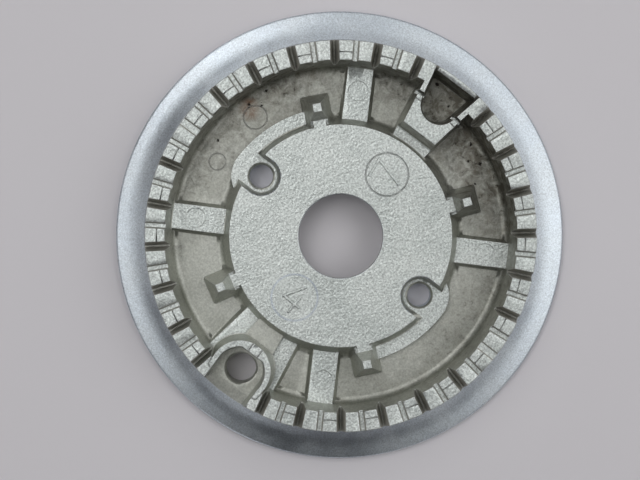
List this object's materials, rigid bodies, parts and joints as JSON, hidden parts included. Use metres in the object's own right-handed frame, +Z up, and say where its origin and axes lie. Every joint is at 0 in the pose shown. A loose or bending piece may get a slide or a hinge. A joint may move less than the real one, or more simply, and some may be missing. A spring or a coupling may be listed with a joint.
{
  "type": "gas hob burner head",
  "caption": "Round cast aluminium gas hob burner head: castellated flame-port ring round a gas channel, raised centre disc with inlet, flat flange, electrode and thermocouple pockets.",
  "frame": {"origin": "on the burner's axis, at the flange's flat underside", "axes": "+Z up along the burner's axis, to the cap; +X from the axis to the electrode hole; the thermocouple pocket is at -X and the screw holes at +Y and -Y"},
  "size_m": [0.102, 0.102, 0.0125],
  "materials": {
    "cast_aluminium": "as-cast and shot-blasted aluminium, satin"
  },
  "bodies": {
    "root": {"burner_head": "cast_aluminium"}
  },
  "joints": []
}
